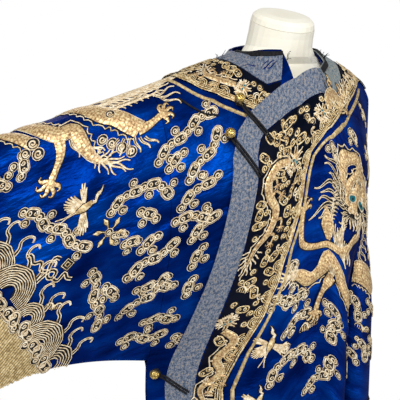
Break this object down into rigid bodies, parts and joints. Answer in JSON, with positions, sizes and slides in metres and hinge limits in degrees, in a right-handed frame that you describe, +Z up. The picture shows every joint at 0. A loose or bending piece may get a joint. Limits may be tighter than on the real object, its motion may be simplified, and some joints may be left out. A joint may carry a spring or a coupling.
{
  "type": "embroidered dragon robe on a limbless dress form",
  "caption": "Full length side-closing embroidered robe with wide sleeves, shown on a covered limbless dress form with a pole and round base.",
  "frame": {"origin": "centre of the base's underside, on the floor under the pole", "axes": "+Z up, -Y out of the robe's front, -X towards the wearer's right, where the drawn-out sleeve is"},
  "size_m": [0.9897, 0.43, 1.5009],
  "materials": {
    "blue_satin": "royal blue silk satin with couched gold thread",
    "black_satin": "black silk satin with couched gold thread",
    "faded_brocade": "faded blue grey brocade",
    "black_cord": "black silk cord and binding",
    "gilt_metal": "gilt metal",
    "cream_cotton": "cream cotton cover",
    "steel_pole": "brushed steel",
    "painted_steel": "off white paint"
  },
  "bodies": {
    "root": {"front_outer": "blue_satin", "front_inner": "blue_satin", "back_left": "blue_satin", "back_right": "blue_satin", "skirt_left_side": "blue_satin", "sleeve_right": "blue_satin", "sleeve_left": "blue_satin", "sleeve_left_under": "blue_satin", "band_overlap": "black_satin", "band_right": "black_satin", "band_back": "black_satin", "trim_back": "faded_brocade", "trim_right": "faded_brocade", "trim_left": "faded_brocade", "trim_diagonal": "faded_brocade", "trim_side": "faded_brocade", "binding_right": "black_cord", "binding_left": "black_cord", "loop_neck": "black_cord", "loop_chest": "black_cord", "loop_side": "black_cord", "button_neck": "gilt_metal", "button_chest": "gilt_metal", "button_side": "gilt_metal", "form_torso": "cream_cotton", "form_cap": "cream_cotton", "form_pole": "steel_pole", "form_base": "painted_steel"}
  },
  "joints": []
}
